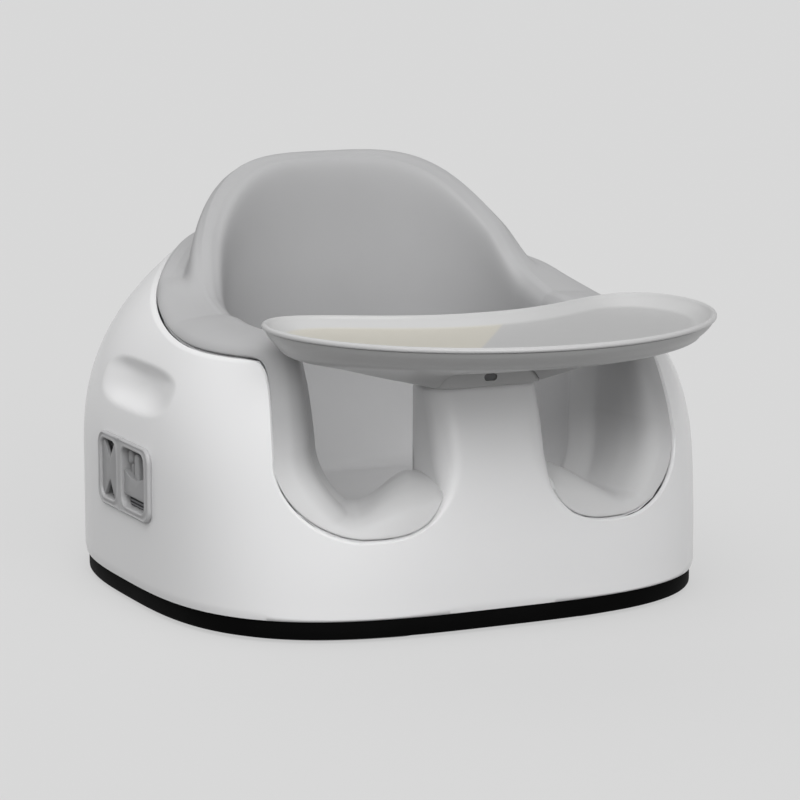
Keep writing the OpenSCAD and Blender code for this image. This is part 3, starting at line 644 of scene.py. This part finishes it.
def pad_outline(start, end, shrink):
    """Round a strip along the shell's ring from start to end degrees, its ends half circles."""
    psi = mix(start, end, 0.5 - 0.5 * np.cos(np.pi * np.arange(61) / 60))
    middle = ring_xy(psi, np.full(61, hem_z), pad_mid)
    run = np.concatenate([[0], np.cumsum(np.hypot(*np.diff(middle, axis=0).T))])
    to_end = np.minimum(np.minimum(run, run[-1] - run) / pad_half, 1)
    half = (pad_half - shrink) * np.sqrt(1 - (1 - to_end) ** 2)
    outside, inside = (ring_xy(psi, hem_z, pad_mid + shift) for shift in (-half, half))
    return np.concatenate([outside, inside[::-1]])


for place, first, last in (("front_right", 19.5, 73), ("front_left", -73, -19.5),
                           ("rear_right", 107, 160.5), ("rear_left", -160.5, -107)):
    pad = loft(f"pad_{place}", [lift(pad_outline(first, last, shrink), z) for shrink, z in (
        (1.6, 0), (0.5, 0.3), (0, 1.0), (0, pad_thick))], pad_grey, smooth_angle=60)
    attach(pad, "base")
    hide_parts(f"foot_pad_{place}")

# %% [markdown]
# ## The foam insert
# One piece of foam with a skin: a rounded border over the shell's edge, a dome of a
# backrest, arms, and a fat lip in each leg opening. It is a loft through control rows, each
# of which runs once round the seat, with a cubic curve between them so no row shows.

# %% The foam's formulas
crest_half, crest_rear, seat_height, back_height = 119.0, 104.0, 60.0, 274.0
foam_psi_half = np.concatenate([
    np.linspace(0, leg_in, 12, endpoint=False),
    leg_angle - leg_spread * np.cos(np.linspace(0, np.pi, 90, endpoint=False)),
    leg_out + (flank_top - leg_out) * (np.arange(20) / 20) ** 2,
    np.linspace(flank_top, 180, 131)])
foam_psi = np.concatenate([foam_psi_half, -foam_psi_half[-2:0:-1]])


def foam_edge(psi):
    """The shell's edge, but level where the foam passes the post."""
    z = edge_z(psi)
    return np.where(np.abs(psi) < leg_angle, np.minimum(z, leg_bottom + 21), z)


def crest_xy(psi):
    return ellipse_xy(psi, crest_half, 132.0, crest_rear, 3.2, 2.5)


def wall_xy(psi):
    return ellipse_xy(psi, crest_half - 14, 106.0, crest_rear - 18, 3.4, 2.6)


def floor_xy(psi):
    return ellipse_xy(psi, crest_half - 28, 84.0, crest_rear - 34, 2.8, 2.4)


def lip_share(psi):
    """1 in a leg opening, 0 beside and behind the sitter."""
    return 1 - smooth((np.abs(psi) - leg_out + 6) / 10)


def back_share(psi):
    """1 where the backrest stands, 0 on the arms."""
    return smooth((np.abs(psi) - 100) / 18)


def arch_z(x):
    """Outline of the backrest from the front: a superellipse dome."""
    u = np.minimum(np.abs(x) / (crest_half + 3), 1)
    return mix(shoulder_height + 20, back_height, (1 - u ** 3.8) ** 0.87)


def crest_z(psi):
    """Height of the foam's crest: a saddle in each leg opening, the arms, then the backrest."""
    saddle = mix(97.0, 78.0, smooth((np.abs(psi) - 19) / 15))
    arm = edge_z(psi) + mix(12.0, 3.0, smooth((np.abs(psi) - 78) / 24))
    side = np.maximum(mix(arm, saddle, lip_share(psi)), foam_edge(psi) + 9)
    return mix(side, np.maximum(side, arch_z(crest_xy(psi)[..., 0])), back_share(psi))


psi = foam_psi
edge_here, back = foam_edge(psi), back_share(psi)
side_inset = np.where(edge_here < edge_z(psi), 3.5, 2.5)
outer_xy, crest = ring_xy(psi, edge_here, side_inset), crest_xy(psi)


roll_share = smooth((np.abs(psi) - 26) / 18) * (1 - smooth((np.abs(psi) - flank_top + 8) / 10))
along_ring = np.stack([np.cos(np.radians(psi)), np.sin(np.radians(psi))], -1)
sideways = (-np.sign(psi) * roll_share)[:, None] * along_ring


def foam_row(share_in, rise, rise_back, roll=0.0):
    """Part of the way from the shell's edge to the crest, and of the way up to it.

    On an opening's outer flank it also bulges by roll mm towards the opening's middle.
    """
    return lift(mix(outer_xy, crest, share_in) + roll * sideways,
                mix(edge_here + 2.8, crest_z(psi), mix(rise, rise_back, back)))


def foam_slope(share_in, drop, down=0.0):
    """Inside the crest: a drop in mm where the crest is high, then a share of the way down."""
    deep = crest_z(psi) - seat_height
    return lift(mix(crest, wall_xy(psi), share_in),
                crest_z(psi) - drop * np.minimum(deep / 120, 1) - down * deep)


def pan_floor_xy(psi, inset):
    return ellipse_xy(psi, 118.0 - inset, 112.0 - inset, 104.0 - inset, 2.6, 2.6)


base_z, gap = 37.0, 7.5
foam_controls = [
    lift(pan_floor_xy(psi, 4 + gap), base_z),
    lift(pan_floor_xy(psi, gap), base_z + 3),
    lift(ring_xy(psi, edge_here, 3.5 + gap), edge_here + 0.6),
    lift(ring_xy(psi, edge_here, side_inset + 1.4), edge_here + 0.9),
    foam_row(0, 0, 0),
    foam_row(0.10, 0.44, 0.07, 10),
    foam_row(0.30, 0.74, 0.10, 15),
    foam_row(0.55, 0.91, 0.16, 12.5),
    foam_row(mix(0.78, 0.72, back)[:, None], 0.98, 0.80, 6.5),
    foam_row(0.89, 1, 0.97, 3),
    foam_slope(0, 0),
    foam_slope(0.4, 2.5),
    foam_slope(0.8, 12),
    foam_slope(0.92, 0, 0.3),
    foam_slope(1, 0, 0.75),
    lift(floor_xy(psi), seat_height + 4),
    lift(floor_xy(psi) * 0.6, seat_height)]
foam_rows = np.concatenate([foam_controls[:3], spline_rows(
    foam_controls[3:], [5, 8, 8, 8, 7, 6, 7, 7, 7, 8, 12, 10, 5])])
foam = loft("foam", foam_rows, foam_grey, smooth_angle=60)
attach(foam, "insert")
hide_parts("foam_insert")
print("foam faces", len(foam.data.polygons))

# %% [markdown]
# ## The tray
# Seen from above the tray is a crescent: a band of constant depth bent round the sitter.
# Its outline is an ellipse whose long axis is wrapped round an arc. The dish is a loft of
# such outlines, from its underside over the rolled rim to the floor.

# %% The crescent's formula and the dish
tray_y, tray_radius, tray_half_depth, tray_half_angle = -92.5, 113.7, 72.0, 86.0
tray_rim_z, dish_depth, dish_wall = 196.0, 7.0, 2.6
dish_top = tray_rim_z - dish_depth
dish_under = dish_top - dish_wall
tray_turns = -2 * np.pi * np.arange(256) / 256


def tray_xy(turn, inset):
    """Ellipse point (cos, sin) with its long axis wrapped round an arc, moved in by inset."""
    long = tray_radius * math.radians(tray_half_angle)
    along = (1 - inset / long) * np.cos(turn) * math.radians(tray_half_angle)
    r = tray_radius + (tray_half_depth - inset) * np.sin(turn)
    return np.stack([r * np.sin(along), tray_y - r * np.cos(along)], -1)


def rim_rise(inset):
    """The rim stands 1.3 mm higher round the front than at the rear, and the floor stays flat."""
    return 1.3 * smooth((np.sin(tray_turns) + 0.35) / 0.9) * (1 - smooth((inset - 4) / 10))


def tray_row(inset, z):
    return lift(tray_xy(tray_turns, inset), z + rim_rise(inset))


lip_under = tray_rim_z - 3.3
dish_profile = [(66, dish_under), (30, dish_under), (11, dish_under), (8.2, dish_under + 1.2),
                (4.4, lip_under), (1.0, lip_under + 0.1), (0.2, tray_rim_z - 2.6),
                (0, tray_rim_z - 1.9), (0.3, tray_rim_z - 0.9), (1.4, tray_rim_z - 0.1),
                (2.4, tray_rim_z), (3.6, tray_rim_z - 0.7), (5.2, tray_rim_z - 2.2),
                (9, dish_top + 2.9), (14, dish_top + 1.1),
                (20, dish_top + 0.1), (40, dish_top - 0.3), (66, dish_top - 0.4)]
dish_rows = spline_rows([tray_row(*p) for p in dish_profile],
                        [2, 2, 2, 2, 2, 3, 3, 3, 4, 4, 4, 4, 4, 4, 4, 3, 2])
dish = loft("dish", dish_rows, dish_grey, smooth_angle=60)
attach(dish, "tray")
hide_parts("tray_dish")

# %% The funnel under the dish
bracket_front = float(front_depth(np.array([post_top]))[0]) + 4
bracket_rear, bracket_bottom, bracket_tall = post_rear + 1, post_top + 0.3, 10.0


def bracket_xy(turn, out):
    """Squarish oval round the top of the post."""
    c, s = np.cos(turn), np.sin(turn)
    middle_y, half_y = (bracket_front + bracket_rear) / 2, (bracket_front - bracket_rear) / 2
    return np.stack([(post_half + out) * np.sign(c) * np.sqrt(np.abs(c)),
                     -middle_y - (half_y + out) * np.sign(s) * np.sqrt(np.abs(s))], -1)


funnel_low = bracket_bottom + mix(1.0, bracket_tall - 1, smooth((np.sin(tray_turns) - 0.6) / 0.35))


def funnel_row(out, share, inset, drop, up=0.0):
    """Part of the way from the bracket's oval to the crescent, drop its share of the height."""
    inset = mix(min(inset, 4.2), inset, smooth((np.sin(tray_turns) + 0.95) / 0.7))
    xy = mix(bracket_xy(tray_turns, out), tray_xy(tray_turns, inset - out), share)
    return lift(xy, mix(funnel_low, lip_under - 0.2 + rim_rise(0), drop) + up)


# A bowl: steep under the rim, then flatter down to the bracket.
bowl = [(0, 16, 0), (0.35, 18.5, 0.2), (0.72, 18.5, 0.44), (1, 18.5, 0.61), (1, 11.5, 0.75),
        (1, 6.5, 0.885), (1, 3.9, 1)]
funnel_rows = np.concatenate([
    spline_rows([funnel_row(2.5, *row) for row in bowl], [5, 5, 5, 5, 4, 4]),
    spline_rows([funnel_row(1.0, *row, up=1.8 * (row[2] < 0.8) + 0.4 * (row[1] == 6.5))
                 for row in bowl[::-1]], [4, 4, 5, 5, 5, 5])])
funnel = loft("funnel", funnel_rows, tray_grey, closed=True)
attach(funnel, "tray")
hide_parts("tray_funnel")

# %% [markdown]
# ## The strap window
# A bezel with two rounded openings sits over the pocket in each side. Each half of it is a
# ring: rays from the middle of its opening are followed out to the opening's edge and on to
# the bezel's, and the profile's height is set along each ray.

# %% Rays, rings and slabs in the side's own frame
def ray_out(gap, middle, turn, reach=70.0):
    """Distance along each ray from middle to where gap turns positive, by bisection."""
    low, high = np.zeros_like(turn), np.full_like(turn, reach)
    for _ in range(30):
        r = (low + high) / 2
        inside = gap(middle[0] + r * np.cos(turn), middle[1] + r * np.sin(turn)) < 0
        low, high = np.where(inside, r, low), np.where(inside, high, r)
    return low


def on_side(along, up, out, right):
    """Place points of the side's frame: along runs to the rear, out away from the shell."""
    t = math.radians(2.2)
    x = 190 + along * math.sin(t) + out * math.cos(t)
    y = -7.5 + along * math.cos(t) - out * math.sin(t)
    points = np.stack(np.broadcast_arrays(x if right else -x, y, 84 + up), -1)
    return points if right else points[..., ::-1, :]


ring_turns = 2 * np.pi * np.arange(160) / 160


def ring(middle, radii, heights, right):
    """Rows of one ring: radii and heights are lists of arrays or numbers, one for each row."""
    c, s = np.cos(ring_turns), np.sin(ring_turns)
    return [on_side(middle[0] + r * c, middle[1] + r * s, h + 0 * c, right)
            for r, h in zip(radii, heights)]


def join(name, parts, material, closed, smooth_angle=40):
    """One piece from several rings or slabs: each is a list of rows."""
    verts, faces, start = [], [], 0
    for rows in parts:
        rows = np.asarray(rows)
        count, cols = rows.shape[:2]
        flat = rows.reshape(-1, 3)
        part = grid_faces(count, cols, closed, start).tolist()
        if not closed:
            flat = np.vstack([flat, rows[0].mean(0), rows[-1].mean(0)])
            c = np.arange(cols)
            last = start + (count - 1) * cols
            hub = start + count * cols
            part += np.stack([start + (c + 1) % cols, start + c, np.full(cols, hub)], -1).tolist()
            part += np.stack([last + c, last + (c + 1) % cols, np.full(cols, hub + 1)], -1).tolist()
        verts.append(flat)
        faces += part
        start += len(flat)
    return make_piece(name, np.vstack(verts), faces, material, smooth_angle)


def slab(gap, middle, low, high, edge, right):
    """Rows of a flat solid with a rounded upper edge, its outline where gap is 0."""
    r = ray_out(gap, middle, ring_turns)
    steps = [(0, low), (0, high - edge), (0.12 * edge, high - 0.5 * edge),
             (0.4 * edge, high - 0.14 * edge), (edge, high)]
    return ring(middle, [r - d for d, _ in steps], [h for _, h in steps], right)


# %% Bezel and buckle on each side
openings = [((23.3, 0.4), 13.2, 19.2), ((-18.0, 0.4), 18.8, 19.2)]     # middle, half sizes
mullion = 5.5
plate_half, plate_mid = (42.5, 24.2), -1.0
for side in ("left", "right"):
    right = side == "right"
    halves = []
    for middle, half_a, half_b in openings:
        sign = 1 if middle[0] > mullion else -1
        hole = ray_out(lambda a, b: box_gap(a - middle[0], b - middle[1], half_a, half_b, 6.5),
                       middle, ring_turns)
        plate = ray_out(lambda a, b: box_gap(a - plate_mid, b, *plate_half, 9), middle, ring_turns)
        to_mullion = ray_out(lambda a, b: sign * (mullion - a), middle, ring_turns)
        flat = to_mullion < plate                     # rays that end on the mullion's middle
        end = np.minimum(plate, to_mullion)
        room = end - hole

        def rim(height):
            """Height near the bezel's outer edge; the mullion keeps the field's height."""
            return np.where(flat, 1.3, height)

        halves.append(ring(middle, [
            hole, hole, hole + 0.35, hole + 1.1, hole + 1.9, hole + np.minimum(2.8, room * 0.6),
            end - np.minimum(3.4, room * 0.35),
            end - np.where(flat, 0, np.minimum(2.4, room * 0.3)),
            end - np.where(flat, 0, 1.3), end - np.where(flat, 0, 0.4), end, end],
            [-6.0, 0.9, 1.75, 2.15, 1.85, 1.3, 1.3,
             rim(1.75), rim(2.0), rim(1.5), rim(0.4), -0.6], right))
    bezel = join(f"bezel_{side}", halves, bezel_grey, closed=True, smooth_angle=60)
    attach(bezel, "base")
    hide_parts(f"window_bezel_{side}")

    def case(a, b):
        """Flat case with a V notch at each end."""
        a, b = a - 24, b - 0.4
        notch = (np.abs(b) - 7.0) * 0.75 - np.abs(a)
        return np.maximum(box_gap(a, b, 12.8, 18.6, 5.5), notch)

    socket = join(f"socket_{side}", [
        slab(case, (24.0, 0.4), -1.6, 0.4, 0.9, right),
        slab(lambda a, b: box_gap(a - 24, b - 0.4, 11, 6.5, 2), (24.0, 0.4),
             -9.0, -1.6, 0.5, right)],
        buckle_grey, closed=False)
    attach(socket, "base")
    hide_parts(f"buckle_socket_{side}")

    def body(a, b):
        """Body of the plug; its top edge dips in an arc of 36 mm radius."""
        a = a + 17.5
        crown = b - (36.5 - np.sqrt(np.maximum(36 ** 2 - a ** 2, 1)))
        return np.maximum(np.maximum(np.abs(a) - 17.2, -11.5 - b), crown)

    def round_bar(mid, half_a, low, high, r):
        return lambda a, b: box_gap(a - mid, b - (low + high) / 2, half_a, (high - low) / 2, r)

    plug = join(f"plug_{side}", [
        slab(body, (-17.5, -6.0), -12.0, 0.2, 1.0, right),
        slab(round_bar(-17.5, 3.6, -4, 17, 3.5), (-17.5, 6.0), -12.0, -1.4, 1.2, right),
        slab(round_bar(-29.5, 2.0, -4, 17, 1.9), (-29.5, 6.0), -12.0, -3.4, 1.0, right),
        slab(round_bar(-5.5, 2.0, -4, 17, 1.9), (-5.5, 6.0), -12.0, -3.4, 1.0, right),
        slab(round_bar(-29.5, 3.6, 8.5, 18.3, 3.5), (-29.5, 13.4), -12.0, -1.6, 2.6, right),
        slab(round_bar(-5.5, 3.6, 8.5, 18.3, 3.5), (-5.5, 13.4), -12.0, -1.6, 2.6, right)],
        buckle_grey, closed=False)
    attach(plug, "base")
    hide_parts(f"buckle_plug_{side}")

    # The strap lies folded under the buckle, and its end shows below the plug.
    path = []
    for k in range(4):
        toward, level = (1, -1)[k % 2], -18.95 + 1.9 * k
        path += [(toward * a, level) for a in np.linspace(-29.5, 29.5, 12)]
        if k < 3:
            path += [(toward * (29.5 + 0.95 * math.cos(t)), level + 0.95 + 0.95 * math.sin(t))
                     for t in np.linspace(-math.pi / 2, math.pi / 2, 9)[1:-1]]
    path = np.array(path)
    run = np.gradient(path, axis=0)
    across = np.stack([-run[:, 1], run[:, 0]], -1) / np.hypot(*run.T)[:, None]
    thick, wide = np.array([-0.75, 0.75, 0.75, -0.75]), np.array([17.0, 17.0, -17.0, -17.0])
    layers = [on_side(p[0] + thick * n[0], wide, p[1] + thick * n[1], right)
              for p, n in zip(path, across)]
    end_tab = slab(lambda a, b: box_gap(a + 17.5, b + 15.2, 15.5, 3.3, 1.0), (-17.5, -15.2),
                   -4.8, -3.2, 0.5, right)
    strap = join(f"strap_{side}", [layers, end_tab], webbing, closed=False)
    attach(strap, "base")
    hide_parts(f"chair_strap_{side}")

# %% [markdown]
# ## Finishes for the pieces that keep their CAD shape
# The pan, the base plate, the pockets, the bracket and the small parts keep the shape that
# the CAD model gives them, so they only need the right finish.

# %% Give the CAD pieces their finishes
finish_of = {
    "base_plate": pan_white,
    "base_screws": screw_steel, "tray_screws": screw_steel, "latch_spring": screw_steel,
    "tray_bracket": tray_grey, "release_button": button_grey, "button_catch": button_grey,
    "seat_pan": pan_white}
for side in ("left", "right"):
    finish_of[f"strap_pocket_{side}"] = pocket_grey
for name, material in finish_of.items():
    nodes[name].data.materials.clear()
    nodes[name].data.materials.append(material)

# %% Bring the scene up to date
bpy.context.view_layer.update()
